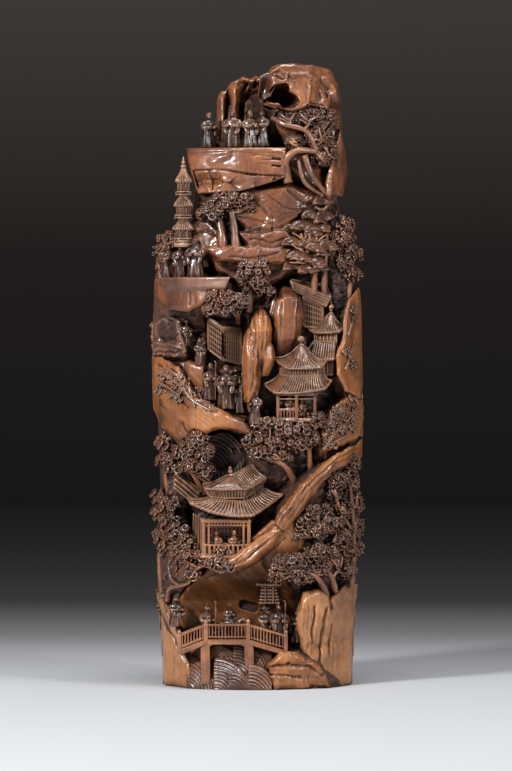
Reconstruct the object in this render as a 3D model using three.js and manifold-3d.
// A bamboo mountain: one thick-walled section of a culm, cut in high relief with cliffs, halls, pines and travellers.
// X runs to the viewer's right, Y away from the viewer and Z up from the foot. All sizes are in millimetres.
import * as THREE from "three";
import { mergeVertices } from "three/addons/utils/BufferGeometryUtils.js";
import Module from "manifold-3d";

const wasm = await Module();
wasm.setup();

// Gaps and fineness
const seatGap = 0.3; // between a motif and the ground that it grows out of
const neighbourGap = 0.42; // between two motifs that are cut apart
const frontSides = 8; // round the front half of the culm
const backSides = 6;
const skinStep = 64; // the most between two rings of the skin
const groundStep = 40; // and of the ground
const outlineStep = 12; // between two corners of an outline
const skinPower = 2.25; // 2 is a plain ellipse, and more is squarer
const groundRipple = 1.3; // how far the bare ground waves in and out
const skinRipple = 0.45;
const padFullWidth = 11.5; // a foliage pad with a smaller half width gets fewer faces

// The culm at each height: the untouched skin, and the ground that the carver cut down to.
// Each holds its left and right edge, its depth in front and its depth behind.
const culmLevels = [
  { z: 0, skin: [-61.5, 61.5, -54, 54], ground: [-61.5, 61.5, -28, 54] },
  { z: 30, skin: [-62.5, 62.5, -55, 55], ground: [-62.5, 62, -28, 55] },
  { z: 62, skin: [-65.5, 65, -56, 56], ground: [-65, 64, -27, 56] },
  { z: 130, skin: [-66.5, 67.5, -56, 56], ground: [-64, 66, -27, 56] },
  { z: 190, skin: [-68, 68.4, -56, 56], ground: [-66, 67, -27, 56] },
  { z: 235, skin: [-68.4, 67.5, -56, 56], ground: [-68, 65, -27, 55] },
  { z: 262, skin: [-67.5, 66.5, -55, 55], ground: [-67, 63, -27, 54] },
  { z: 285, skin: [-66, 65.5, -54, 53], ground: [-62, 59, -27, 52] },
  { z: 300, skin: [-58, 64, -53, 52], ground: [-47, 54, -26, 50] },
  { z: 315, skin: [-55, 59, -52, 50], ground: [-42, 53, -25, 48] },
  { z: 342, skin: [-51, 58, -50, 47], ground: [-38, 54, -17, 45] },
  { z: 366, skin: [-39, 55, -47, 43], ground: [-27, 51, -10, 41] },
  { z: 378, skin: [-33, 54.5, -44, 40], ground: [-21, 46, -4, 34] },
  { z: 390, skin: [-29, 53.5, -41, 36], ground: null },
  { z: 400, skin: [-16, 49, -34, 28], ground: null },
];

// Swells of the ground behind and between the motifs: where each stands, its half width and half height,
// and the depth that its middle rises to
const groundSwells = [
  { x: -14, z: 314, halfWidth: 38, halfHeight: 28, depth: 0.5 },
  { x: 20, z: 300, halfWidth: 36, halfHeight: 34, depth: 0.62 },
  { x: 57, z: 276, halfWidth: 15, halfHeight: 44, depth: 0.4 },
  { x: -58, z: 250, halfWidth: 16, halfHeight: 34, depth: 0.45 },
  { x: -58, z: 138, halfWidth: 17, halfHeight: 36, depth: 0.4 },
  { x: -59, z: 84, halfWidth: 18, halfHeight: 44, depth: 0.4 },
  { x: 57, z: 112, halfWidth: 20, halfHeight: 50, depth: 0.45 },
  { x: 34, z: 92, halfWidth: 28, halfHeight: 34, depth: 0.55 },
  { x: 8, z: 154, halfWidth: 36, halfHeight: 28, depth: 0.6 },
  { x: 18, z: 212, halfWidth: 36, halfHeight: 42, depth: 0.7 },
  { x: -26, z: 196, halfWidth: 36, halfHeight: 30, depth: 0.68 },
];

// The culm's own hollow, open at the foot and closed under the summit
const hollowSides = 8;
const hollowLevels = [
  { z: -4, size: [-36, 36, -14, 32] },
  { z: 120, size: [-35, 36, -13.5, 32] },
  { z: 230, size: [-34, 34, -13, 31] },
  { z: 290, size: [-28, 32, -12, 28] },
  { z: 312, size: [-14, 18, -6, 15] },
];

const skinColour = 0x9c673d;
const reliefColour = 0x6d4631;
const shadeColour = 0x4c3128;
const finishes = {
  skin: new THREE.MeshStandardMaterial({ color: skinColour, roughness: 0.36, metalness: 0 }),
  relief: new THREE.MeshStandardMaterial({ color: reliefColour, roughness: 0.42, metalness: 0 }),
  shade: new THREE.MeshStandardMaterial({ color: shadeColour, roughness: 0.55, metalness: 0 }),
};

// Turns a closed geometry into a solid, and turns it inside out if its faces point inwards.
function solidOf(geometry) {
  const bare = geometry.index ? geometry.toNonIndexed() : geometry.clone();
  for (const name of Object.keys(bare.attributes)) {
    if (name !== "position") bare.deleteAttribute(name);
  }
  const merged = mergeVertices(bare, 1e-4);
  const source = merged.index.array;
  const kept = [];
  for (let i = 0; i < source.length; i += 3) {
    const [a, b, c] = [source[i], source[i + 1], source[i + 2]];
    if (a !== b && b !== c && a !== c) kept.push(a, b, c);
  }
  const make = (corners) =>
    new wasm.Manifold(
      new wasm.Mesh({
        numProp: 3,
        vertProperties: merged.attributes.position.array,
        triVerts: new Uint32Array(corners),
      }),
    );
  const made = make(kept);
  return made.volume() < 0 ? make(kept.reverse()) : made;
}

function geometryOf(solid) {
  const mesh = solid.getMesh();
  const geometry = new THREE.BufferGeometry();
  geometry.setAttribute("position", new THREE.BufferAttribute(mesh.vertProperties, 3));
  geometry.setIndex(new THREE.BufferAttribute(mesh.triVerts, 1));
  return geometry;
}

function join(solids) {
  return solids.reduce((whole, next) => whole.add(next));
}

// A skin over rings that all have the same number of points, with a fan over each end.
function loftOf(rings) {
  const count = rings[0].length;
  const positions = [];
  const index = [];
  for (const ring of rings) {
    for (const p of ring) positions.push(p.x, p.y, p.z);
  }
  for (let r = 0; r + 1 < rings.length; r++) {
    for (let i = 0; i < count; i++) {
      const a = r * count + i;
      const b = r * count + ((i + 1) % count);
      index.push(a, b, b + count, a, b + count, a + count);
    }
  }
  for (const [ring, base, flip] of [
    [rings[0], 0, true],
    [rings[rings.length - 1], (rings.length - 1) * count, false],
  ]) {
    const centre = new THREE.Vector3();
    for (const p of ring) centre.addScaledVector(p, 1 / count);
    const hub = positions.length / 3;
    positions.push(centre.x, centre.y, centre.z);
    for (let i = 0; i < count; i++) {
      const a = base + i;
      const b = base + ((i + 1) % count);
      index.push(...(flip ? [b, a, hub] : [a, b, hub]));
    }
  }
  const geometry = new THREE.BufferGeometry();
  geometry.setAttribute("position", new THREE.Float32BufferAttribute(positions, 3));
  geometry.setIndex(index);
  return solidOf(geometry);
}

function mix(a, b, share) {
  return a + (b - a) * share;
}

// Left, right, front and back of the culm at a height. Depth 0 is the skin, and depth 1 the ground.
function culmSize(z, depth) {
  const top = culmLevels.length - 1;
  let i = 0;
  while (i < top - 1 && z > culmLevels[i + 1].z) i++;
  const [low, high] = [culmLevels[i], culmLevels[i + 1]];
  const share = THREE.MathUtils.clamp((z - low.z) / (high.z - low.z), 0, 1);
  return low.skin.map((edge, k) => {
    const skin = mix(edge, high.skin[k], share);
    const lowGround = (low.ground ?? low.skin)[k];
    const ground = mix(lowGround, (high.ground ?? low.ground ?? high.skin)[k], share);
    return mix(skin, ground, depth);
  });
}

function power(value, exponent) {
  return Math.sign(value) * Math.abs(value) ** exponent;
}

// How deep the ground lies at a place seen from the front.
function groundDepth(x, z) {
  return Math.min(
    ...groundSwells.map((swell) => {
      const away = ((x - swell.x) / swell.halfWidth) ** 2 + ((z - swell.z) / swell.halfHeight) ** 2;
      return away < 1 ? mix(1, swell.depth, Math.sqrt(1 - away)) : 1;
    }),
  );
}

// One closed outline of the culm at a height, moved out by grow.
function culmRing(z, depth, grow) {
  const [left, right, front, back] = culmSize(z, depth);
  const ripple = mix(skinRipple, groundRipple, depth);
  const ring = [];
  for (let i = 0; i < frontSides + backSides; i++) {
    const angle = i < backSides ? (Math.PI * i) / backSides : Math.PI * (1 + (i - backSides) / frontSides);
    const wave = ripple * (Math.sin(3 * angle + z * 0.045) + 0.6 * Math.sin(7 * angle - z * 0.08));
    const across = power(Math.cos(angle), 2 / skinPower);
    const away = power(Math.sin(angle), 2 / skinPower);
    const halfWidth = (right - left) / 2 + grow + wave * 0.5;
    const halfDepth = (away < 0 ? -front : back) + grow + wave;
    const x = (left + right) / 2 + across * halfWidth;
    const swell = depth === 1 && away < 0 ? frontAt(x, z, 1) - frontAt(x, z, groundDepth(x, z)) : 0;
    ring.push(new THREE.Vector3(x, away * halfDepth - swell, z));
  }
  return ring;
}

// The culm as a closed body at a depth between its skin and its ground.
function culmBody(depth, grow) {
  const levels = culmLevels.filter((level) => depth < 1 || level.ground);
  const heights = [];
  levels.forEach(({ z }, i) => {
    const span = i > 0 ? z - levels[i - 1].z : 0;
    const parts = Math.max(1, Math.round(span / (depth === 1 ? groundStep : skinStep)));
    for (let k = 1; k < parts; k++) heights.push(z - span * (1 - k / parts));
    heights.push(z);
  });
  if (depth === 1) heights.push(heights.pop() + grow);
  return loftOf(heights.map((z) => culmRing(z, depth, grow)));
}

// The Y of the front surface at a place seen from the front, at a depth between skin and ground.
function frontAt(x, z, depth) {
  const [left, right, front] = culmSize(z, depth);
  const across = Math.min(1, Math.abs(x - (left + right) / 2) / ((right - left) / 2));
  return front * (1 - across ** skinPower) ** (1 / skinPower);
}

function smoothClosed(points, step) {
  const curve = new THREE.CatmullRomCurve3(
    points.map(([x, z]) => new THREE.Vector3(x, z, 0)),
    true,
    "catmullrom",
    0.5,
  );
  const dense = curve.getSpacedPoints(Math.round(curve.getLength() / step)).slice(0, -1);
  return dense.map((p) => new THREE.Vector2(p.x, p.y));
}

// Extrudes an outline seen from the front, from one Y to another.
function slabOf(outline, nearY, farY) {
  const geometry = new THREE.ExtrudeGeometry(new THREE.Shape(outline), {
    depth: farY - nearY,
    bevelEnabled: false,
    steps: 1,
  });
  geometry.rotateX(Math.PI / 2).translate(0, farY, 0);
  return solidOf(geometry);
}

const slabReach = 70; // past the culm's front and back
const culmTop = culmLevels[culmLevels.length - 1].z;

// Moves an outline inwards by an amount.
function insetOutline(outline, amount) {
  const inward = THREE.ShapeUtils.area(outline) > 0 ? amount : -amount;
  return outline.map((p, i) => {
    const before = outline[(i + outline.length - 1) % outline.length];
    const after = outline[(i + 1) % outline.length];
    const along = after.clone().sub(before).normalize();
    return new THREE.Vector2(p.x - along.y * inward, p.y + along.x * inward);
  });
}

const edgeInset = 2.3; // the softened edge of a mass of rock, seen from the front
const edgeDepth = 0.11; // and its share of the depth between skin and ground
const rockBack = 7; // how far behind the culm's widest line a mass of rock reaches
const rockBackWave = 5;

// Keeps a corner of an outline between the culm's left and right edges, its foot and its top.
function heldInside(p) {
  const z = THREE.MathUtils.clamp(p.y, 0, culmTop);
  const [left, right] = culmSize(z, 0);
  return new THREE.Vector2(THREE.MathUtils.clamp(p.x, left, right), z);
}

// Leaves out corners that lie on the straight line between their neighbours.
function withoutStraights(outline) {
  const kept = [];
  outline.forEach((p, i) => {
    const before = kept.length ? kept[kept.length - 1] : outline[outline.length - 1];
    const after = outline[(i + 1) % outline.length];
    const turn = p.clone().sub(before).cross(after.clone().sub(p));
    if (Math.abs(turn) > 0.4) kept.push(p);
  });
  return kept;
}

// Fills an outline that runs anticlockwise with triangles, cutting its shortest corners off first.
function fillOutline(outline) {
  const faces = [];
  const left = outline.map((p, i) => i);
  const turn = (a, b, c) => outline[b].clone().sub(outline[a]).cross(outline[c].clone().sub(outline[a]));
  while (left.length > 3) {
    let best = { score: Infinity };
    left.forEach((b, k) => {
      const a = left[(k + left.length - 1) % left.length];
      const c = left[(k + 1) % left.length];
      const others = left.filter((i) => i !== a && i !== b && i !== c);
      const clear = others.every((i) => turn(a, b, i) <= 0 || turn(b, c, i) <= 0 || turn(c, a, i) <= 0);
      const bad = turn(a, b, c) <= 0 || !clear ? 1000 : 0;
      const score = bad + outline[a].distanceTo(outline[c]);
      if (score < best.score) best = { score, k, face: [a, b, c] };
    });
    faces.push(best.face);
    left.splice(best.k, 1);
  }
  faces.push(left);
  return faces;
}

// A mass of rock with an outline seen from the front, left standing at a depth of the culm.
// Its face follows the culm's curve, inside a softened edge.
function rock({ outline, from = 0, back = rockBack, step = outlineStep }) {
  const wide = withoutStraights(
    smoothClosed(outline, step)
      .map(heldInside)
      .filter((p, i, all) => p.distanceTo(all[(i + 1) % all.length]) > 0.5),
  );
  if (THREE.ShapeUtils.isClockWise(wide)) wide.reverse();
  const narrow = insetOutline(wide, edgeInset).map((p, i) =>
    heldInside(wide[i].y > 0 ? p : new THREE.Vector2(p.x, 0)),
  );
  const count = wide.length;
  const positions = [];
  const index = [];
  for (const p of wide) positions.push(p.x, back + rockBackWave * Math.sin(p.y / 11), p.y);
  for (const p of wide) positions.push(p.x, frontAt(p.x, p.y, from + edgeDepth), p.y);
  for (const p of narrow) positions.push(p.x, frontAt(p.x, p.y, from), p.y);
  for (let band = 0; band < 2; band++) {
    for (let i = 0; i < count; i++) {
      const a = band * count + i;
      const b = band * count + ((i + 1) % count);
      index.push(a, b, b + count, a, b + count, a + count);
    }
  }
  for (const face of fillOutline(narrow)) index.push(...face.map((i) => 2 * count + i));
  for (const face of fillOutline(wide)) index.push(...face.reverse());
  const geometry = new THREE.BufferGeometry();
  geometry.setAttribute("position", new THREE.Float32BufferAttribute(positions, 3));
  geometry.setIndex(index);
  return solidOf(geometry).subtract(culmBody(1, seatGap));
}

function cylinder(radiusTop, radiusFoot, height, sides) {
  return new THREE.CylinderGeometry(radiusTop, radiusFoot, height, sides)
    .rotateX(Math.PI / 2)
    .translate(0, 0, height / 2);
}

function ellipsoid([rx, ry, rz], [x, y, z], across = 7, up = 5) {
  const geometry = new THREE.SphereGeometry(1, across, up);
  return solidOf(geometry.rotateX(Math.PI / 2).scale(rx, ry, rz).translate(x, y, z));
}

function turned(profile, sides) {
  const points = profile.map(([r, h]) => new THREE.Vector2(r, h));
  return new THREE.LatheGeometry(points, sides).rotateX(Math.PI / 2);
}

function box([sx, sy, sz], [x, y, z]) {
  return solidOf(new THREE.BoxGeometry(sx, sy, sz).translate(x, y, z));
}

// A round limb that follows points and tapers from one radius to another.
function limb(points, radiusFoot, radiusTip, sides = 3, perPoint = 1) {
  const curve = new THREE.CatmullRomCurve3(points);
  const steps = (points.length - 1) * perPoint;
  const frames = curve.computeFrenetFrames(steps, false);
  const rings = [];
  for (let s = 0; s <= steps; s++) {
    const centre = curve.getPoint(s / steps);
    const radius = mix(radiusFoot, radiusTip, s / steps);
    const ring = [];
    for (let i = 0; i < sides; i++) {
      const angle = (2 * Math.PI * i) / sides;
      const p = centre.clone();
      p.addScaledVector(frames.normals[s], radius * Math.cos(angle));
      p.addScaledVector(frames.binormals[s], radius * Math.sin(angle));
      ring.push(p);
    }
    rings.push(ring);
  }
  return loftOf(rings);
}

// A curved roof: its corners sweep up, and tile rows run from its eaves to its top.
function sweptRoof({ corners, halfWidth, halfDepth, height, topWidth, topDepth, curl, rows, rise = 4 }) {
  const tileDepth = 0.7;
  const eaveThickness = 1.5;
  const around = rows * 2;
  const rim = (share, widthAt, depthAt) => {
    const side = Math.min(corners.length - 1, Math.floor(share * corners.length));
    const along = share * corners.length - side;
    const [ax, ay] = corners[side];
    const [bx, by] = corners[(side + 1) % corners.length];
    const nearCorner = Math.abs(along - 0.5) * 2;
    return [mix(ax, bx, along) * widthAt, mix(ay, by, along) * depthAt, nearCorner];
  };
  const total = around * corners.length;
  const ringAt = (up, z, tiled) => {
    const widthAt = mix(halfWidth, topWidth, up);
    const depthAt = mix(halfDepth, topDepth, up);
    const ring = [];
    for (let i = 0; i < total; i++) {
      const [x, y, nearCorner] = rim(i / total, widthAt, depthAt);
      const lift = curl * (1 - up) ** 2 * nearCorner ** 3;
      const valley = tiled && i % 2 ? tileDepth * (1 - 0.5 * up) : 0;
      ring.push(new THREE.Vector3(x, y, z + lift - valley));
    }
    return ring;
  };
  const rings = [ringAt(0.04, -eaveThickness, false)];
  for (let k = 0; k <= rise; k++) {
    const up = k / rise;
    rings.push(ringAt(up, height * (0.4 * up + 0.6 * up * up), true));
  }
  return loftOf(rings);
}

const squareCorners = [
  [-1, -1],
  [1, -1],
  [1, 1],
  [-1, 1],
];

function ringCorners(count, turn) {
  const corners = [];
  for (let i = 0; i < count; i++) {
    const angle = turn + (2 * Math.PI * i) / count;
    corners.push([Math.cos(angle), Math.sin(angle)]);
  }
  return corners;
}

// A standing figure in a long robe with its sleeves joined in front.
function robedFigure({ x, z, depth, height, turn = 0, lean = 0, y = frontAt(x, z, depth) }) {
  const profile = [
    [0, 0],
    [0.2, 0],
    [0.14, 0.45],
    [0.15, 0.68],
    [0.05, 0.77],
    [0.09, 0.88],
    [0, 1],
  ].map(([r, h]) => [r * height, h * height]);
  const robe = solidOf(turned(profile, 5).scale(1, 0.8, 1));
  const sleeveSize = [0.19 * height, 0.11 * height, 0.1 * height];
  const sleeves = ellipsoid(sleeveSize, [0, -0.1 * height, 0.54 * height], 5, 3);
  const figure = geometryOf(robe.add(sleeves));
  figure.rotateX(lean).rotateZ(turn).translate(x, y, z);
  return solidOf(figure);
}

// A seated figure for the inside of a hall.
function seatedFigure({ x, y, z, height }) {
  const h = height;
  const robe = solidOf(
    turned(
      [
        [0, 0],
        [0.42 * h, 0],
        [0.2 * h, 0.48 * h],
        [0, 0.7 * h],
      ],
      5,
    ).scale(1, 0.8, 1),
  );
  const head = ellipsoid([0.15 * h, 0.15 * h, 0.19 * h], [0, -0.03 * h, 0.8 * h], 5, 3);
  return solidOf(geometryOf(robe.add(head)).translate(x, y, z));
}

// One lobed pad of foliage, flat towards the viewer.
function foliagePad([x, z, depth, halfWidth, halfHeight], lobes = 5) {
  const geometry = new THREE.SphereGeometry(1, 5, halfWidth < padFullWidth ? 2 : 3);
  const place = geometry.attributes.position;
  for (let i = 0; i < place.count; i++) {
    const angle = Math.atan2(place.getZ(i), place.getX(i));
    const bulge = 1 + 0.12 * Math.cos(lobes * angle + x);
    place.setX(i, place.getX(i) * bulge);
    place.setZ(i, place.getZ(i) * bulge);
  }
  const halfDepth = Math.min(halfWidth, halfHeight) * 0.72;
  geometry.scale(halfWidth, halfDepth, halfHeight).translate(x, frontAt(x, z, depth), z);
  return solidOf(geometry);
}

function placeOf([x, z, depth]) {
  return new THREE.Vector3(x, frontAt(x, z, depth), z);
}

// A tree: its trunks and boughs, and the pads that they carry. A thread of bough runs into each pad.
function tree({ trunks, pads }) {
  const solids = [];
  for (const { foot, tip, points } of trunks) solids.push(limb(points.map(placeOf), foot, tip));
  for (const pad of pads) {
    solids.push(foliagePad(pad));
    const middle = placeOf(pad);
    let nearest = null;
    for (const { points } of trunks) {
      for (const point of points.slice(1)) {
        const place = placeOf(point);
        if (!nearest || place.distanceTo(middle) < nearest.distanceTo(middle)) nearest = place;
      }
    }
    const reach = 1.1 * Math.min(pad[3], pad[4]);
    if (nearest.distanceTo(middle) > reach) solids.push(limb([nearest, middle], 1.2, 0.9, 3));
  }
  return join(solids);
}

// Rock masses, as outlines seen from the front
const rocks = {
  left_bank: {
    outline: [
      [-64, -6], [-42, -6], [-43, 10], [-45.5, 22], [-49, 33], [-55, 46], [-60, 58], [-70, 63], [-70, 25],
    ],
  },
  right_tall_rock: {
    outline: [
      [39.2, -5.2], [71.6, -5.2], [71.6, 28.5], [70.3, 60.9], [60.6, 66.7], [54.1, 64.8], [49.6, 61.6],
      [47, 56.4], [42.4, 62.2], [35.3, 63.5], [29.5, 60.9], [26.2, 53.1], [25.6, 38.2], [27.5, 27.2],
      [32.7, 18.8], [36.6, 10.4],
    ],
    from: 0.2,
  },
  foreground_rock: {
    outline: [
      [10.5, -6], [9.5, 7], [5.5, 15], [9.5, 22], [18, 25.3], [27.5, 23.3], [37, 18.8], [43, 10], [46, -6],
    ],
  },
  left_cliff_path: {
    outline: [
      [-72, 213], [-60, 210.5], [-51.5, 207.4], [-46, 201], [-44, 190], [-34, 184], [-24.3, 179.5],
      [-13.3, 173], [-2.3, 167.2], [-1, 161], [-9, 161.8], [-19, 165.4], [-27.5, 167.5], [-37, 161.5],
      [-46, 167], [-55.4, 176], [-64.5, 184.5], [-72, 196],
    ],
    step: 12,
  },
  path_bank: {
    outline: [
      [-64, 214], [-50, 211], [-42, 208], [-33, 206], [-32, 192], [-27, 185], [-16, 181], [-8, 176], [1, 169],
      [0, 162], [-13, 165], [-30, 175], [-46, 185], [-60, 200],
    ],
    from: 0.5,
    step: 15,
  },
  left_stratum: {
    outline: [
      [-72, 193], [-64, 187], [-56, 178.5], [-47, 169], [-39, 160], [-46, 155], [-56, 160], [-63, 168],
      [-72, 176],
    ],
    from: 0.22,
    step: 16,
  },
  diagonal_path: {
    outline: [
      [-20, 83], [-5, 92.7], [9, 103], [13, 112], [21, 121], [30, 134.8], [40.5, 143.2], [52.8, 151],
      [62, 155.5], [74, 161], [74, 149], [60, 144.4], [48.3, 139], [39, 130], [32, 119], [24.3, 108.5],
      [15.9, 98.8], [5.5, 88.4], [-6, 80], [-19, 74], [-26, 77],
    ],
  },
  hollow_slope: {
    outline: [
      [-51.5, 69.3], [-37.3, 73.2], [-18.5, 77.1], [-6.2, 82.9], [6.8, 93.3], [17.2, 103.7], [27.5, 116],
      [35.3, 124.4], [40.5, 117.3], [32.7, 101.1], [23.7, 88.8], [16.5, 78.4], [13.9, 64.8], [5.5, 56.4],
      [-11.3, 55.7], [-29.5, 57.7], [-47.6, 59.6],
    ],
    from: 0.5,
    step: 16,
  },
  right_strip: {
    outline: [
      [55, 236], [58, 248], [63.5, 256], [72, 254], [72, 189], [58, 189], [52, 197], [49.5, 210], [51, 219],
      [55, 226],
    ],
  },
  right_cliff: {
    outline: [
      [57, 187], [74, 187], [74, 163.5], [60, 158.5], [50, 154], [41, 148.5], [37, 155], [41, 166],
      [47, 178],
    ],
    from: 0.15,
  },
  left_grotto: {
    outline: [
      [-72, 234], [-63, 237], [-55.4, 238.5], [-49, 234.6], [-47.2, 226], [-48, 217], [-46.5, 209.5],
      [-53, 210], [-61, 213.5], [-72, 216],
    ],
    from: 0.12,
  },
  balcony_ledge: {
    outline: [
      [-66, 262], [-50, 262.6], [-36, 262.6], [-22, 262], [-18.5, 255], [-31, 252.5], [-34, 245],
      [-42.4, 240.4], [-54, 241.6], [-61, 246], [-67, 254],
    ],
    from: 0.06,
  },
  upper_cliff: {
    outline: [
      [-30.1, 314.9], [-21.7, 319.5], [-11.3, 322.1], [2.9, 322.1], [17.2, 323.4], [29.5, 320.1],
      [41.8, 315.6], [50.2, 311], [48.3, 305.9], [40.5, 302.6], [31.4, 303.9], [26.2, 298.7], [18.5, 294.8],
      [8.1, 292.9], [-2.3, 292.2], [-9.4, 293.5], [-13.9, 298.1], [-16.5, 304.6], [-23, 307.8],
    ],
    from: 0.4,
    step: 12.5,
  },
  upper_shelf: {
    outline: [
      [-13.3, 292.9], [2.9, 292.9], [23, 294.8], [26.2, 287.7], [21.7, 282.5], [4.2, 281.2], [-7.5, 282.5],
      [-13.3, 285.8],
    ],
    from: 0.34,
    step: 15,
  },
  lower_shelf: {
    outline: [
      [-33.4, 281.9], [-13.9, 283.8], [2.9, 283.2], [21.7, 282.5], [24.9, 278], [19.8, 272.2], [4.2, 268.9],
      [-8.7, 270.9], [-23, 272.8], [-32.1, 276.7],
    ],
    from: 0.28,
    step: 15,
  },
  shelf_backing: {
    outline: [
      [-34.7, 281.2], [-30.1, 314.9], [-9.4, 323.4], [18.5, 324], [48.9, 313.6], [50.2, 303.3], [36, 296.8],
      [28.8, 286.4], [27.5, 273.5], [19.1, 263.7], [4.2, 256.6], [-12.6, 257.3], [-28.2, 268.3],
    ],
    from: 0.62,
    step: 18,
  },
  pagoda_hill: {
    outline: [
      [-43.7, 298.1], [-35.3, 301.3], [-26.2, 297.4], [-23.7, 289], [-24.9, 279.9], [-34, 276],
      [-45, 277.3], [-48.9, 283.8], [-47.6, 292.9],
    ],
    from: 0.36,
    step: 12,
  },
};

// The small house on the slope behind the bridge, under a ridged roof
const house = { x: 9.5, z: 55, depth: 0.5, width: 14, wall: 8, roof: 6.5, overhang: 2.4, length: 14 };

function smallHouse() {
  const { x, z, depth, width, wall, roof, overhang, length } = house;
  const gable = [
    [-width / 2, 0],
    [width / 2, 0],
    [width / 2, wall],
    [width / 2 + overhang, wall - 0.6],
    [width / 2 + overhang, wall + 0.6],
    [width / 4, wall + roof],
    [-width / 4, wall + roof],
    [-width / 2 - overhang, wall + 0.6],
    [-width / 2 - overhang, wall - 0.6],
    [-width / 2, wall],
  ];
  const nearY = frontAt(x, z, depth);
  return slabOf(
    gable.map(([across, up]) => new THREE.Vector2(x + across, z + up)),
    nearY,
    nearY + length,
  ).subtract(culmBody(1, seatGap));
}

// The waves under the bridge: domed mounds, each cut with rings of crests
const waveDepth = 0.1;
const wavePitch = 8; // from crest to crest
const waveCrest = 0.85;
const waveMounds = [
  { x: -20, z: -2, radius: 31, depth: 0.3 },
  { x: -42, z: -6, radius: 22, depth: 0.06 },
  { x: -20, z: -6, radius: 24, depth: 0.03 },
  { x: 2, z: -6, radius: 20, depth: 0.05 },
];

function waveMound({ x, z, radius, depth }) {
  const around = 12;
  const y = frontAt(x, Math.max(z, 0), waveDepth + depth);
  const steps = Math.floor((2 * radius) / wavePitch);
  const rings = [];
  for (let s = steps; s >= 1; s--) {
    const r = (radius * s) / steps;
    const dome = 6 * (r / radius) ** 2;
    const crest = s % 2 ? waveCrest : 0;
    const ring = [];
    for (let i = 0; i < around; i++) {
      const angle = (2 * Math.PI * i) / around;
      ring.push(new THREE.Vector3(x + r * Math.cos(angle), y + dome - crest, z + r * Math.sin(angle)));
    }
    rings.push(ring);
  }
  const back = rings[0].map((p) => new THREE.Vector3(p.x, slabReach / 4, p.z));
  return loftOf([back, ...rings]);
}

function waves() {
  const mounds = join(waveMounds.map(waveMound));
  return mounds.intersect(culmBody(0, 0)).subtract(culmBody(1, seatGap));
}

// The falling water in the cave under the left path: a hollow of nested arcs
const cascadeCentre = [-23, 147];
const cascadeRadius = 17;
const cascadeArcs = 3;

function cascade() {
  const [x, z] = cascadeCentre;
  const around = 12;
  const steps = cascadeArcs * 2;
  const rings = [];
  for (let s = steps; s >= 1; s--) {
    const r = (cascadeRadius * s) / steps;
    const dish = 5 * (r / cascadeRadius) ** 2;
    const y = frontAt(x, z, 0.86) - dish - (s % 2 ? 0.8 : 0);
    const ring = [];
    for (let i = 0; i < around; i++) {
      const angle = (2 * Math.PI * i) / around;
      ring.push(new THREE.Vector3(x + r * 0.85 * Math.cos(angle), y, z + r * Math.sin(angle)));
    }
    rings.push(ring);
  }
  const back = rings[0].map((p) => new THREE.Vector3(p.x, 0, p.z));
  return loftOf([back, ...rings]).subtract(culmBody(1, seatGap));
}

// The summit: a bowl-shaped terrace, an overhanging crag with a grotto through its face, and two lesser peaks
const terraceFloor = 346;
const terraceCentre = [-13.3, -15];
const terraceHalfWidth = 31.8;
const terraceHalfDepth = 33;

function summitTerrace() {
  const [x, y] = terraceCentre;
  const bowl = turned(
    [
      [0, -25],
      [0.55, -25],
      [0.84, -19],
      [0.96, -13],
      [1, -3],
      [0.98, 0],
      [0, 0],
    ].map(([r, h]) => [r * terraceHalfWidth, h]),
    18,
  );
  bowl.scale(1, terraceHalfDepth / terraceHalfWidth, 1).translate(x, y, terraceFloor);
  const stone = ellipsoid([3.4, 3, 3.6], [-39, frontAt(-39, terraceFloor, 0.5), terraceFloor + 2], 5, 3);
  return solidOf(bowl).add(stone).subtract(culmBody(1, seatGap));
}

const grottoCentre = [15.5, 378.8];
const grottoSize = [8, 30, 6.6]; // half width, depth and half height

const crackWidth = 1.5;
const crackDepth = 5;
const cracks = [
  [[34, 379], [35.5, 387]],
  [[44, 376], [48, 392]],
];
const summitParts = [
  {
    outline: [
      [2.9, 390.1], [8.7, 397.2], [21.1, 401], [39.2, 401], [50.2, 392.7], [53.5, 381], [52.8, 372.6], [41.8, 370],
      [29.5, 373.2], [22.4, 370.7], [14.6, 367.4], [8.1, 370], [4.2, 376.5], [2.3, 383.6],
    ],
    back: 22,
  },
  {
    outline: [
      [6.8, 375.8], [21.1, 379.7], [43.7, 381], [54.1, 378.4], [54.1, 355.8], [57.3, 336.3], [57.3, 324.6],
      [53.5, 313], [47.6, 311.7], [41.8, 316.9], [33.4, 321.4], [24.3, 326.6], [18.5, 331.8], [19.8, 344.7],
      [17.2, 353.8], [9.4, 362.9],
    ],
    from: 0.38,
    back: 14,
    step: 16,
  },
  {
    outline: [
      [52.8, 360.3], [58, 336.3], [58, 324.6], [53.5, 313], [48.3, 311.7], [43.7, 315.6], [45.7, 326.6],
      [47, 336.3], [49.6, 347.3],
    ],
    from: 0.02,
    step: 16,
  },
];

function summitRock() {
  let crown = join(summitParts.map(rock));
  for (const [start, end] of cracks) {
    const points = [start, end].map(([x, z]) => new THREE.Vector3(x, frontAt(x, z, 0), z));
    const length = points[0].distanceTo(points[1]);
    const cut = new THREE.SphereGeometry(1, 4, 3).scale(crackWidth, length / 2, crackDepth);
    const turn = Math.atan2(end[0] - start[0], end[1] - start[1]);
    cut.rotateX(Math.PI / 2).rotateY(turn);
    const middle = points[0].clone().add(points[1]).multiplyScalar(0.5);
    crown = crown.subtract(solidOf(cut.translate(middle.x, middle.y, middle.z)));
  }
  const [x, z] = grottoCentre;
  return crown.subtract(ellipsoid(grottoSize, [x, frontAt(x, z, 0), z], 8, 5));
}

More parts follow.
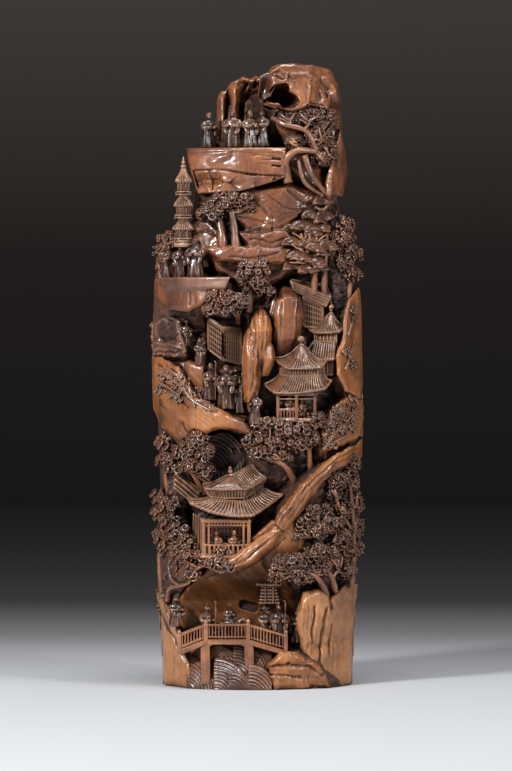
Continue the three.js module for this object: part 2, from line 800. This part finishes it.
function crag(rings, notchDepth = 0.12, sides = 6) {
  return loftOf(
    rings.map(([x, y, z, rx, ry], level) => {
      const ring = [];
      for (let i = 0; i < sides; i++) {
        const angle = (2 * Math.PI * i) / sides;
        const notch = 1 + notchDepth * Math.cos(3 * angle + level * 1.3);
        ring.push(new THREE.Vector3(x + rx * notch * Math.cos(angle), y + ry * notch * Math.sin(angle), z));
      }
      return ring;
    }),
  );
}

// The broken rim behind the terrace: two near columns, joined low down
function leftPeaks() {
  const near = crag([
    [-24, -10, 344, 3.5, 13],
    [-23.5, -10, 374, 3.2, 9],
    [-22.5, -9, 380, 1.8, 5],
  ]);
  const middle = crag([
    [-17, -8, 344, 6, 15],
    [-15.5, -8, 378, 4.8, 12],
    [-14, -7, 387, 2.4, 6],
  ]);
  const far = crag([
    [-5.5, -10, 344, 7.5, 12],
    [-4, -8, 382, 7, 10],
    [-2.5, -6, 390, 4, 7],
  ]);
  return join([near, middle, far]).subtract(culmBody(1, seatGap));
}

// Tall smooth boulders: a stack of rings for each
function tallBoulder(lobes) {
  return join(lobes.map((rings) => crag(rings, 0.04, 7))).subtract(culmBody(1, seatGap));
}

const frontBoulder = [
  [
    [-3, -40, 205, 5, 8],
    [1, -42, 216, 7.4, 10],
    [2, -43, 229, 8, 10.5],
    [2, -41, 238, 6.4, 8.5],
    [2, -39, 243.5, 2.6, 4],
  ],
  [
    [-5, -40, 183, 3.6, 8],
    [-4.4, -43, 196, 6, 10],
    [-4.2, -44, 211, 6.4, 10.5],
    [-5, -42, 225, 4.4, 8],
    [-4.6, -41, 231, 1.8, 4],
  ],
  [
    [4, -38, 200, 4, 8],
    [6, -41, 211, 6, 9.5],
    [6, -41, 219, 4.4, 8],
    [5.4, -40, 225, 2, 4],
  ],
];
const backBoulder = [
  [
    [14, -30, 213, 8, 8],
    [16.5, -34, 224, 11, 10.5],
    [18, -36, 238, 12, 11],
    [18.5, -35, 250, 10.4, 9.5],
    [18.5, -32, 257.6, 4, 5],
  ],
];

// The great hall by the diagonal path
const hall = {
  x: -20,
  floor: 85,
  columnHeight: 24,
  halfWidth: 14.5,
  halfDepth: 8,
  columnRadius: 1.25,
  lowerHalfWidth: 29,
  lowerHalfDepth: 13,
  lowerHeight: 12,
  neck: 2.6,
  upperHalfWidth: 19.5,
  upperHalfDepth: 9,
  upperHeight: 14,
};
hall.y = frontAt(hall.x, hall.floor, 0.42);
hall.eave = hall.floor + hall.columnHeight;

function hallFrame() {
  const { x, y, floor, columnHeight, halfWidth, halfDepth, columnRadius } = hall;
  const railHeight = 7.5;
  const solids = [box([halfWidth * 2 + 5, halfDepth * 2 + 5, 2.4], [x, y, floor])];
  for (const side of [-1, 1]) {
    for (const end of [-1, 1]) {
      const column = cylinder(columnRadius, columnRadius, columnHeight, 4);
      solids.push(solidOf(column.translate(x + side * halfWidth, y + end * halfDepth, floor)));
    }
  }
  solids.push(box([halfWidth * 2 + 3, 1.6, 2.6], [x, y - halfDepth, floor + columnHeight - 1.3]));
  solids.push(box([halfWidth * 2 + 3, 1.6, columnHeight], [x, y + halfDepth, floor + columnHeight / 2]));
  solids.push(
    piercedPanel({
      ax: x - halfWidth, az: floor, bx: x + halfWidth, bz: floor, height: railHeight, pitch: 7, bar: 1.5,
      nearY: y - halfDepth - 0.5, thickness: 1,
    }),
  );
  for (const side of [-1, 1]) {
    solids.push(seatedFigure({ x: x + side * 5.4, y: y - 1, z: floor + 1, height: 13 }));
  }
  solids.push(box([6, 5, 7], [x, y - 1, floor + 4]));
  return join(solids).subtract(culmBody(1, seatGap));
}

function hallLowerRoof() {
  const { x, y, eave, lowerHalfWidth, lowerHalfDepth, lowerHeight, upperHalfWidth } = hall;
  const roof = sweptRoof({
    corners: squareCorners,
    halfWidth: lowerHalfWidth,
    halfDepth: lowerHalfDepth,
    height: lowerHeight,
    topWidth: upperHalfWidth - 4,
    topDepth: 5,
    curl: 3.2,
    rows: 4,
    rise: 2,
  });
  const placed = geometryOf(roof).translate(x, y, eave + 2);
  return solidOf(placed).subtract(culmBody(1, seatGap));
}

function hallUpperRoof() {
  const { x, y, eave, lowerHeight, neck, upperHalfWidth, upperHalfDepth, upperHeight } = hall;
  const foot = eave + 2 + lowerHeight;
  const roof = sweptRoof({
    corners: squareCorners,
    halfWidth: upperHalfWidth,
    halfDepth: upperHalfDepth,
    height: upperHeight,
    topWidth: upperHalfWidth * 0.5,
    topDepth: 1.2,
    curl: 2.4,
    rows: 3,
    rise: 2,
  });
  const placed = solidOf(geometryOf(roof).translate(x, y, foot + neck + 1.5));
  const wall = box([upperHalfWidth * 1.5, 8, neck + 3], [x, y, foot + neck / 2 + 1.8]);
  const ridge = box([upperHalfWidth * 1.05, 2.4, 2], [x, y, foot + neck + 1.5 + upperHeight]);
  return join([placed, wall, ridge]).subtract(culmBody(1, seatGap));
}

// A slanted side roof over a covered way
function leanRoof({ x, z, depth, length, slope, width, drop }) {
  const rows = 5;
  const rings = [];
  for (let i = 0; i <= rows * 2; i++) {
    const along = (i / (rows * 2) - 0.5) * length;
    const high = i % 2 ? 0.7 : 0;
    rings.push(
      [
        [0, high],
        [-width / 2, -drop / 2 + high],
        [-width, -drop + high],
        [-width, -drop - 1.6],
        [0, -drop - 1.6],
        [width * 0.4, -drop * 0.5],
      ].map(([y, up]) => new THREE.Vector3(along, y, up)),
    );
  }
  const roof = geometryOf(loftOf(rings)).rotateY(slope);
  roof.translate(x, frontAt(x, z, depth) + width * 0.4, z);
  return solidOf(roof).subtract(culmBody(1, seatGap));
}

// A wall of a covered way, with a sunk lattice of crossed bars
function galleryWall({ x, z, depth, width, height, turn, slope }) {
  const thickness = 9;
  const outer = new THREE.Shape([
    new THREE.Vector2(-width / 2, -height / 2 - slope),
    new THREE.Vector2(width / 2, -height / 2 + slope),
    new THREE.Vector2(width / 2, height / 2 + slope),
    new THREE.Vector2(-width / 2, height / 2 - slope),
  ]);
  const slab = new THREE.ExtrudeGeometry(outer, { depth: thickness, bevelEnabled: false });
  let wall = solidOf(slab.rotateX(Math.PI / 2));
  const panes = 3;
  for (let i = 0; i < panes; i++) {
    const paneX = width * ((i + 0.5) / panes - 0.5) * 0.8;
    const paneZ = (slope * 2 * paneX) / width + height * 0.08;
    wall = wall.subtract(box([(width / panes) * 0.55, 2.4, height * 0.36], [paneX, -thickness, paneZ]));
  }
  const placed = geometryOf(wall).rotateZ(turn).translate(x, frontAt(x, z, depth) + thickness, z);
  return solidOf(placed).subtract(culmBody(1, seatGap));
}

// The six-sided kiosk with two roofs, and a smaller one behind it
function kioskRoof({ x, y, z, radius, height, top, curl, rows, flat, ball }) {
  const roof = sweptRoof({
    corners: ringCorners(6, 0),
    halfWidth: radius,
    halfDepth: radius * flat,
    height,
    topWidth: radius * top,
    topDepth: radius * top * flat,
    curl,
    rows,
    rise: 2,
  });
  const solids = [solidOf(geometryOf(roof).translate(x, y, z))];
  if (ball > 0) {
    const finial = [
      [0, -1],
      [ball * 1.1, -1],
      [ball * 0.6, 1.6],
      [ball, 1.6 + ball],
      [0, 1.6 + ball * 2],
    ];
    solids.push(solidOf(turned(finial, 6).translate(x, y, z + height)));
  }
  return join(solids);
}

const kiosk = {
  x: 24.8,
  floor: 171,
  columnHeight: 18,
  radius: 15,
  columnRadius: 1.1,
  lowerRadius: 19.6,
  lowerHeight: 9,
  upperRadius: 16.2,
  upperHeight: 15,
  flat: 0.62,
  ball: 2.2,
};
kiosk.y = frontAt(kiosk.x, kiosk.floor, 0.4);
kiosk.eave = kiosk.floor + kiosk.columnHeight;

function kioskFrame() {
  const { x, y, floor, columnHeight, radius, columnRadius, flat } = kiosk;
  const solids = [
    solidOf(cylinder(radius * 1.08, radius * 1.08, 2.4, 6).rotateZ(Math.PI / 6).scale(1, flat, 1).translate(x, y, floor)),
  ];
  for (const [cx, cy] of ringCorners(6, Math.PI / 6)) {
    const column = cylinder(columnRadius, columnRadius, columnHeight, 4);
    solids.push(solidOf(column.translate(x + cx * radius * 0.92, y + cy * radius * 0.92 * flat, floor)));
  }
  const beam = cylinder(radius, radius, 2.2, 6).rotateZ(Math.PI / 6).scale(1, flat, 1);
  solids.push(solidOf(beam.translate(x, y, floor + columnHeight - 1.8)));
  solids.push(
    piercedPanel({
      ax: x - radius * 0.46, az: floor, bx: x + radius * 0.46, bz: floor, height: 7, pitch: 6, bar: 1.2,
      nearY: y - radius * 0.8 * flat - 0.5, thickness: 1,
    }),
  );
  solids.push(seatedFigure({ x: x + 3, y: y + 1, z: floor + 1.6, height: 11 }));
  return join(solids).subtract(culmBody(1, seatGap));
}

function kioskLowerRoof() {
  const { x, y, eave, lowerRadius, lowerHeight, flat } = kiosk;
  return kioskRoof({
    x, y, z: eave + 2.2, radius: lowerRadius, height: lowerHeight, top: 0.62, curl: 2.6, rows: 2, flat, ball: 0,
  }).subtract(culmBody(1, seatGap));
}

function kioskUpperRoof() {
  const { x, y, eave, lowerRadius, lowerHeight, upperRadius, upperHeight, flat, ball } = kiosk;
  const foot = eave + 2.2 + lowerHeight + seatGap;
  const neckHeight = 4.4;
  const neck = cylinder(lowerRadius * 0.58, lowerRadius * 0.58, neckHeight, 6).scale(1, flat, 1);
  const roof = kioskRoof({
    x, y, z: foot + neckHeight, radius: upperRadius, height: upperHeight, top: 0.12, curl: 3, rows: 2, flat, ball,
  });
  return roof.add(solidOf(neck.translate(x, y, foot))).subtract(culmBody(1, seatGap));
}

// A tower with straight sides under swept roofs, as one skin.
// Each storey holds its height, the radius of its wall, and the eaves' radius, curl and rise.
function tieredTower({ x, y, z, flat, storeys, finial, corners = 6, turn = 0 }) {
  const around = corners * 2;
  const eaveThickness = 1.1;
  const rings = [];
  const ring = (radius, height, curl) => {
    const points = [];
    for (let i = 0; i < around; i++) {
      const angle = turn + (2 * Math.PI * i) / around;
      const r = i % 2 ? radius * Math.cos(Math.PI / corners) : radius;
      const lift = i % 2 ? 0 : curl;
      points.push(new THREE.Vector3(x + r * Math.cos(angle), y + r * flat * Math.sin(angle), height + lift));
    }
    rings.push(points);
  };
  let foot = z;
  ring(storeys[0].wall, foot, 0);
  for (const { height, wall, eaves, curl, rise, top } of storeys) {
    ring(wall, foot + height, 0);
    ring(eaves, foot + height - eaveThickness, curl);
    ring(eaves, foot + height, curl);
    ring(mix(eaves, top, 0.55), foot + height + rise * 0.35, curl * 0.2);
    foot += height + rise;
    ring(top, foot, 0);
  }
  for (const [radius, height] of finial) ring(radius, foot + height, 0);
  return loftOf(rings);
}

const rearKiosk = {
  x: 43.5,
  z: 200,
  depth: 0.6,
  flat: 0.62,
  storeys: [
    { height: 9, wall: 8.6, eaves: 9.6, curl: 1, rise: 6.5, top: 7.4 },
    { height: 5, wall: 7.2, eaves: 11.4, curl: 2.2, rise: 12, top: 1.2 },
  ],
  finial: [
    [1.4, 2],
    [0.3, 4.4],
  ],
};

function rearKioskBody() {
  const y = frontAt(rearKiosk.x, rearKiosk.z, rearKiosk.depth);
  return tieredTower({ ...rearKiosk, y }).subtract(culmBody(1, seatGap));
}

// The tower at the upper left: three storeys that shrink, each with a doorway, and a finial
const pagoda = {
  x: -47.5,
  aboveGuests: 20.4,
  depth: 0.35,
  storeyHeight: 9.5,
  rise: 7.5,
  radius: 5.4,
  eaves: 10.4,
  shrink: 0.13,
};

function pagodaTower() {
  const { x, aboveGuests, depth, storeyHeight, rise, radius, eaves, shrink } = pagoda;
  const guests = figures.balcony_guest_2;
  const foot = guests.z + aboveGuests;
  const y = frontAt(x, foot, depth);
  const sizes = [0, 1, 2].map((i) => 1 - shrink * i);
  const storeys = sizes.map((size, i) => ({
    height: storeyHeight,
    wall: radius * size,
    eaves: eaves * size,
    curl: 1.2,
    rise,
    top: radius * (i < 2 ? size : 0.25),
  }));
  const finial = [
    [1.4, 2],
    [0.3, 7],
  ];
  let tower = tieredTower({ x, y, z: foot, flat: 1, storeys, finial, corners: 4, turn: Math.PI / 4 });
  sizes.forEach((size, i) => {
    const doorZ = foot + i * (storeyHeight + rise) + 4.2;
    tower = tower.subtract(box([2.2, 3, 4.4], [x, y - radius * size * Math.SQRT1_2, doorZ]));
  });
  return tower;
}

// The bridge over the waves: a deck with two ramps on two piers, and railings between posts
const bridge = {
  nodes: [
    [-50, 25],
    [-33, 32],
    [-6, 32],
    [18, 25],
  ],
  thickness: 2.8,
  nearDepth: 0.06,
  width: 14,
  railHeight: 8.6,
  barPitch: 8,
  barWidth: 1.2,
  postRadius: 1.5,
};
bridge.y = frontAt(-20, 30, bridge.nearDepth) + 3;

function deckHeight(x) {
  const { nodes } = bridge;
  let i = 0;
  while (i < nodes.length - 2 && x > nodes[i + 1][0]) i++;
  const [low, high] = [nodes[i], nodes[i + 1]];
  return mix(low[1], high[1], (x - low[0]) / (high[0] - low[0]));
}

function bridgeDeck() {
  const { nodes, thickness, y, width } = bridge;
  const top = nodes.map(([x, z]) => new THREE.Vector2(x, z));
  const under = nodes.map(([x, z]) => new THREE.Vector2(x, z - thickness)).reverse();
  const solids = [slabOf([...top, ...under], y, y + width)];
  for (const [x] of nodes.slice(1, 3)) {
    const pier = cylinder(2.6, 3.4, 28, 6).translate(x + 0.6, y + 3.6, nodes[1][1] - 29);
    solids.push(solidOf(pier));
  }
  return join(solids).intersect(culmBody(0, 0));
}

// An upright panel between two points of a sloping line, pierced between its bars.
function piercedPanel({ ax, az, bx, bz, height, pitch, bar, nearY, thickness }) {
  const corner = (share, up) => new THREE.Vector2(mix(ax, bx, share), mix(az, bz, share) + up);
  const patch = (left, right, low, high, reach) =>
    slabOf(
      [corner(left, low), corner(right, low), corner(right, high), corner(left, high)],
      nearY - reach,
      nearY + thickness + reach,
    );
  const count = Math.round((bx - ax) / pitch);
  const half = bar / 2 / (bx - ax);
  let panel = patch(0, 1, 0, height, 0);
  for (let i = 0; i < count; i++) {
    panel = panel.subtract(patch(i / count + half, (i + 1) / count - half, bar, height - bar, 1));
  }
  return panel;
}

function bridgeRail({ rowY, fromX, toX, lift }) {
  const { nodes, railHeight, barPitch, barWidth, postRadius } = bridge;
  const inside = nodes.filter(([x]) => x > fromX && x < toX).map(([x]) => x);
  const stops = [fromX, ...inside, toX];
  const solids = [];
  for (let i = 0; i + 1 < stops.length; i++) {
    const [ax, bx] = [stops[i], stops[i + 1]];
    solids.push(
      piercedPanel({
        ax, az: deckHeight(ax) + lift, bx, bz: deckHeight(bx) + lift, height: railHeight, pitch: barPitch,
        bar: barWidth, nearY: rowY - barWidth / 2, thickness: barWidth,
      }),
    );
  }
  for (const x of stops) {
    const profile = [
      [0, 0],
      [postRadius, 0],
      [postRadius * 0.8, railHeight + 1.4],
      [postRadius, railHeight + 3],
      [0, railHeight + 4.6],
    ];
    solids.push(solidOf(turned(profile, 4).translate(x, rowY, deckHeight(x) + lift)));
  }
  return join(solids);
}

function muleAndRider({ x, y, z }) {
  const trunk = ellipsoid([7, 3, 3.4], [x, y, z + 7.4], 6, 3);
  const neck = limb(
    [new THREE.Vector3(x + 5, y, z + 8.5), new THREE.Vector3(x + 9, y, z + 12.5), new THREE.Vector3(x + 12, y, z + 11)],
    2.1,
    1.2,
  );
  const legs = [-4.5, -3, 3.6, 5].map((step, i) =>
    solidOf(cylinder(1, 0.8, 7, 3).translate(x + step, y + (i % 2 ? 1.5 : -1.5), z)),
  );
  const rider = robedFigure({ x: x - 0.5, y, z: z + 6, height: 17 });
  return join([trunk, neck, ...legs, rider]);
}

const figures = {
  terrace_sage_1: { x: -31.5, z: terraceFloor + seatGap, depth: 0.32, height: 21, turn: 0.5 },
  terrace_sage_2: { x: -16, z: terraceFloor + seatGap, depth: 0.3, height: 22, turn: -0.2 },
  terrace_sage_3: { x: -5, z: terraceFloor + seatGap, depth: 0.38, height: 22, turn: 0.3 },
  balcony_guest_1: { x: -57.5, z: 262.6, depth: 0.42, height: 20, turn: 0.4 },
  balcony_guest_2: { x: -49.3, z: 262.6, depth: 0.3, height: 20.5 },
  balcony_guest_3: { x: -39.5, z: 262.8, depth: 0.34, height: 22, turn: -0.3 },
  path_traveller_1: { x: -37.5, z: 202, depth: 0.6, height: 19, turn: 0.3 },
  path_traveller_2: { x: -30.5, z: 184.5, depth: 0.5, height: 23, turn: 0.2 },
  path_traveller_3: { x: -20.3, z: 179, depth: 0.44, height: 27 },
  path_traveller_4: { x: -11, z: 176.5, depth: 0.56, height: 23, turn: -0.2 },
  path_traveller_5: { x: -1.6, z: 169.5, depth: 0.42, height: 22.5, turn: -0.4, lean: 0.06 },
  bridge_porter: { x: 4.5, z: deckHeight(1) + seatGap, y: bridge.y + 7, height: 17, turn: 0.5 },
  bridge_elder: { x: 13.5, z: deckHeight(9) + seatGap, y: bridge.y + 7, height: 21, turn: 0.2 },
};

const trees = {
  summit_pine: {
    trunks: [
      { foot: 2.6, tip: 1.6, points: [[10, 362, 0.5], [24, 355, 0.16], [39, 342, 0.12]] },
      { foot: 2, tip: 1.2, points: [[44, 318, 0.3], [35, 335, 0.16], [29, 351, 0.16]] },
    ],
    pads: [
      [22.4, 366.1, 0.12, 10, 5],
      [40.5, 364.2, 0.06, 12, 8],
      [41.5, 348.6, 0.04, 8, 11],
      [24.9, 349.9, 0.12, 6, 5],
    ],
  },
  twin_trunk_tree: {
    trunks: [
      { foot: 3.2, tip: 1.8, points: [[-22, 281, 0.42], [-23.5, 293, 0.38], [-25, 309, 0.3]] },
      { foot: 3, tip: 1.8, points: [[-13.5, 279, 0.45], [-15, 293, 0.42], [-17, 306, 0.38]] },
    ],
    pads: [
      [-16.5, 312.3, 0.28, 14, 6.5],
      [-30.1, 304.6, 0.26, 9.5, 6.5],
      [-6.8, 308.4, 0.4, 6.5, 5],
    ],
  },
  left_edge_pine: {
    trunks: [
      { foot: 1.7, tip: 1.1, points: [[-62, 262, 0.7], [-63, 274, 0.6], [-60, 284, 0.45]] },
    ],
    pads: [
      [-59.3, 287.1, 0.3, 7, 5.5],
      [-63.2, 276.7, 0.4, 3.8, 8],
    ],
  },
  slender_tree: {
    trunks: [
      { foot: 2, tip: 1.2, points: [[-5, 243, 0.6], [-5, 256, 0.5], [-7, 270, 0.4]] },
    ],
    pads: [
      [-7.5, 265.7, 0.32, 5.5, 8],
      [2.3, 268.9, 0.3, 6, 5.5],
      [1, 258.6, 0.36, 6.5, 5.5],
    ],
  },
  ledge_pine: {
    trunks: [
      { foot: 1.8, tip: 1.2, points: [[-12, 236, 0.85], [-14, 241, 0.5], [-20, 245, 0.25]] },
    ],
    pads: [
      [-24.9, 249.5, 0.1, 10.5, 6.5],
      [-13.3, 244.9, 0.16, 8, 6.5],
    ],
  },
  right_grove: {
    trunks: [
      { foot: 2.1, tip: 1.3, points: [[36, 254, 0.5], [36.5, 268, 0.42], [35, 292, 0.3]] },
      { foot: 2.1, tip: 1.3, points: [[37, 256, 0.5], [42.5, 272, 0.42], [40, 300, 0.34]] },
    ],
    pads: [
      [41.1, 307.2, 0.3, 7, 6.5],
      [34.7, 294.8, 0.28, 12, 6.5],
      [30.1, 281.2, 0.22, 11, 6],
      [37.9, 273.5, 0.16, 9.5, 6],
    ],
  },
  far_right_tree: {
    trunks: [
      { foot: 1.8, tip: 1.1, points: [[58.5, 251, 0.5], [59.5, 266, 0.4], [58.5, 292, 0.3]] },
    ],
    pads: [
      [59.3, 294.8, 0.18, 6.5, 8],
      [57.3, 283.8, 0.14, 7.5, 7],
      [61.2, 269.6, 0.12, 6, 8],
    ],
  },
  left_thicket: {
    trunks: [
      { foot: 2.3, tip: 1.3, points: [[-33, 127, 1.05], [-41, 137, 0.45], [-48, 144, 0.25]] },
    ],
    pads: [
      [-43.7, 154.2, 0.1, 11, 9],
      [-39.2, 142.6, 0.16, 10, 6.5],
      [-59.3, 151.6, 0.06, 6, 9],
    ],
  },
  centre_thicket: {
    trunks: [
      { foot: 2, tip: 1.2, points: [[26, 130.5, 0.6], [18, 142, 0.3], [6, 148, 0.22]] },
      { foot: 1.8, tip: 1.1, points: [[34.5, 138, 0.5], [31, 160, 0.14]] },
      { foot: 1.6, tip: 1.1, points: [[18, 142, 0.3], [25, 160, 0.12]] },
    ],
    pads: [
      [5.5, 168.5, 0.12, 11, 6],
      [24.9, 162, 0.08, 13, 8],
      [5.5, 154.9, 0.12, 12, 7],
    ],
  },
  right_edge_pine: {
    trunks: [
      { foot: 2, tip: 1.2, points: [[60, 62, 0.5], [61.5, 92, 0.28], [60.5, 118, 0.25], [58, 139, 0.25]] },
    ],
    pads: [
      [57.3, 133.5, 0.12, 9, 9],
      [50.9, 124.4, 0.26, 5.5, 5],
      [63.8, 111.5, 0.06, 4.5, 12],
      [62.5, 85.5, 0.07, 5, 12],
    ],
  },
  right_mid_tree: {
    trunks: [
      { foot: 2, tip: 1.2, points: [[46, 80, 1.1], [44, 84, 0.6], [41, 92, 0.35], [38, 99, 0.2]] },
    ],
    pads: [
      [34.7, 108.9, 0.16, 12, 8],
      [49.6, 103, 0.12, 10, 7],
    ],
  },
  low_right_tree: {
    trunks: [
      { foot: 2.4, tip: 1.4, points: [[41, 61, 0.55], [36, 74, 0.25], [28, 76, 0.15]] },
      { foot: 2.3, tip: 1.3, points: [[42, 62, 0.55], [48, 74, 0.25], [54, 81, 0.2]] },
    ],
    pads: [
      [17.2, 77.8, 0.08, 9.5, 7.5],
      [31.4, 80.4, 0.06, 11, 9],
      [46.6, 81.6, 0.08, 11.5, 7],
    ],
  },
  low_left_tree: {
    trunks: [
      { foot: 1.9, tip: 1.2, points: [[-61, 58, 0.45], [-63, 80, 0.35], [-62, 100, 0.3], [-58, 112, 0.3]] },
    ],
    pads: [
      [-59.3, 119.2, 0.12, 8, 6.5],
      [-59.3, 108.9, 0.12, 8, 5.5],
      [-49.6, 94.6, 0.1, 10, 8],
      [-48.9, 80.4, 0.06, 11, 8],
    ],
  },
  front_left_bough: {
    trunks: [
      { foot: 2.1, tip: 1.3, points: [[-55, 53, 0.5], [-53, 62, 0.2], [-43, 67, 0.1], [-30, 72, 0.12]] },
    ],
    pads: [
      [-43.7, 72.6, 0.05, 6.5, 4.5],
      [-28.2, 82.9, 0.07, 13, 6],
    ],
  },
};

// Moves every face out by a gap, by moving each corner along its mean normal.
function grown(solid, gap) {
  const geometry = geometryOf(solid);
  geometry.computeVertexNormals();
  const { position, normal } = geometry.attributes;
  const corners = geometry.index.array;
  const pointOf = (attribute, i) => new THREE.Vector3().fromBufferAttribute(attribute, i);
  const least = new Array(position.count).fill(1);
  for (let f = 0; f < corners.length; f += 3) {
    const [a, b, c] = [0, 1, 2].map((k) => pointOf(position, corners[f + k]));
    const facing = b.sub(a).cross(c.sub(a)).normalize();
    for (const i of corners.slice(f, f + 3)) least[i] = Math.min(least[i], facing.dot(pointOf(normal, i)));
  }
  for (let i = 0; i < position.count; i++) {
    const moved = pointOf(normal, i).multiplyScalar(gap / Math.max(0.35, least[i]));
    moved.add(pointOf(position, i));
    position.setXYZ(i, moved.x, moved.y, moved.z);
  }
  geometry.deleteAttribute("normal");
  return solidOf(geometry).add(solid);
}

function boxesMeet(a, b) {
  return [0, 1, 2].every((k) => a.min[k] <= b.max[k] + 1 && b.min[k] <= a.max[k] + 1);
}

function largest(solid) {
  const parts = solid.decompose();
  return parts.reduce((best, next) => (next.volume() > best.volume() ? next : best));
}

const touching = 1e-3; // cubic millimetres
const carving = new THREE.Group();
const done = [];

// Adds a motif, cut back where it would run into one that is already there.
function add(name, solid, finish) {
  let shape = solid;
  for (const earlier of done) {
    if (!boxesMeet(shape.boundingBox(), earlier.solid.boundingBox())) continue;
    if (shape.intersect(earlier.solid).volume() > touching) shape = shape.subtract(earlier.cutter);
  }
  shape = largest(shape);
  done.push({ solid: shape, cutter: grown(shape, neighbourGap) });
  const mesh = new THREE.Mesh(geometryOf(shape), finishes[finish].clone());
  mesh.name = name;
  carving.add(mesh);
}

// The wall: the culm cut down to its ground, with its hollow and the two windows that pierce it
const windows = [
  { at: [-5, 53], size: [6, 24, 3] },
  { at: [-29, 273], size: [3.6, 26, 8] },
];

function culmWall() {
  const hollow = loftOf(
    hollowLevels.map(({ z, size: [left, right, front, back] }) => {
      const ring = [];
      for (let i = 0; i < hollowSides; i++) {
        const angle = (2 * Math.PI * i) / hollowSides;
        const [across, away] = [Math.cos(angle), Math.sin(angle)];
        const x = (left + right) / 2 + (across * (right - left)) / 2;
        ring.push(new THREE.Vector3(x, away * (away < 0 ? -front : back), z));
      }
      return ring;
    }),
  );
  let wall = culmBody(1, 0).subtract(hollow);
  for (const { at: [x, z], size } of windows) {
    wall = wall.subtract(ellipsoid(size, [x, frontAt(x, z, 1), z], 6, 4));
  }
  const [left, front, foot] = [-15, -6, 360];
  const farRim = crag([
    [left + 8, front + 16, foot, 9, 10],
    [left + 11, front + 14, foot + 28, 8.6, 8],
    [left + 12, front + 15, foot + 34.5, 4, 5],
  ]);
  return wall.add(farRim);
}

add("culm_wall", culmWall(), "relief");
for (const name of ["left_bank", "right_tall_rock", "foreground_rock"]) add(name, rock(rocks[name]), "skin");
const pathParts = ["left_cliff_path", "path_bank", "left_stratum"];
add("left_cliff_path", join(pathParts.map((name) => rock(rocks[name]))), "skin");
for (const name of ["diagonal_path", "right_strip", "right_cliff"]) add(name, rock(rocks[name]), "skin");
add("hollow_slope", rock(rocks.hollow_slope).add(smallHouse()), "skin");
for (const name of ["left_grotto", "balcony_ledge"]) add(name, rock(rocks[name]), "skin");
const shelves = ["shelf_backing", "upper_cliff", "upper_shelf", "lower_shelf", "pagoda_hill"];
add("upper_slope", join(shelves.map((name) => rock(rocks[name]))), "skin");
add("cave_cascade", cascade(), "shade");
add("summit_terrace", summitTerrace(), "skin");
add("summit_rock", summitRock(), "skin");
add("left_peaks", leftPeaks(), "skin");
add("front_boulder", tallBoulder(frontBoulder), "skin");
add("back_boulder", tallBoulder(backBoulder), "skin");
add("hall_frame", hallFrame(), "relief");
add("hall_lower_roof", hallLowerRoof(), "relief");
add("hall_upper_roof", hallUpperRoof(), "relief");
add("kiosk_frame", kioskFrame(), "relief");
add("kiosk_lower_roof", kioskLowerRoof(), "relief");
add("kiosk_upper_roof", kioskUpperRoof(), "relief");
add("rear_kiosk", rearKioskBody(), "relief");
add("pagoda", pagodaTower(), "relief");
add("covered_way_roof", leanRoof({ x: -44, z: 132, depth: 0.6, length: 22, slope: 0.75, width: 10, drop: 5 }), "relief");
add("left_gallery_wall", galleryWall({ x: -21, z: 219, depth: 0.75, width: 22, height: 26, turn: 0, slope: -4 }), "relief");
const rightWall = galleryWall({ x: 38, z: 240, depth: 0.8, width: 16, height: 26, turn: 0, slope: -3 });
const rightRoof = leanRoof({ x: 35, z: 258, depth: 0.55, length: 27, slope: 0.42, width: 10, drop: 6 });
add("right_gallery", rightWall.add(rightRoof), "relief");
const backRail = bridgeRail({ rowY: bridge.y + bridge.width - 1.2, fromX: -50, toX: -33, lift: -1 });
const frontRail = bridgeRail({ rowY: bridge.y + 1, fromX: -50, toX: 18, lift: seatGap });
add("bridge_deck", bridgeDeck().add(backRail), "relief");
add("bridge_front_rail", frontRail, "relief");
add("river_waves", waves(), "relief");
add("mule_and_rider", muleAndRider({ x: -21, y: bridge.y + 7, z: 32 + seatGap }), "relief");
for (const [name, spec] of Object.entries(figures)) add(name, robedFigure(spec), "relief");
for (const [name, spec] of Object.entries(trees)) {
  add(name, tree(spec).intersect(culmBody(0, 0)).subtract(culmBody(1, seatGap)), "shade");
}

export default carving;
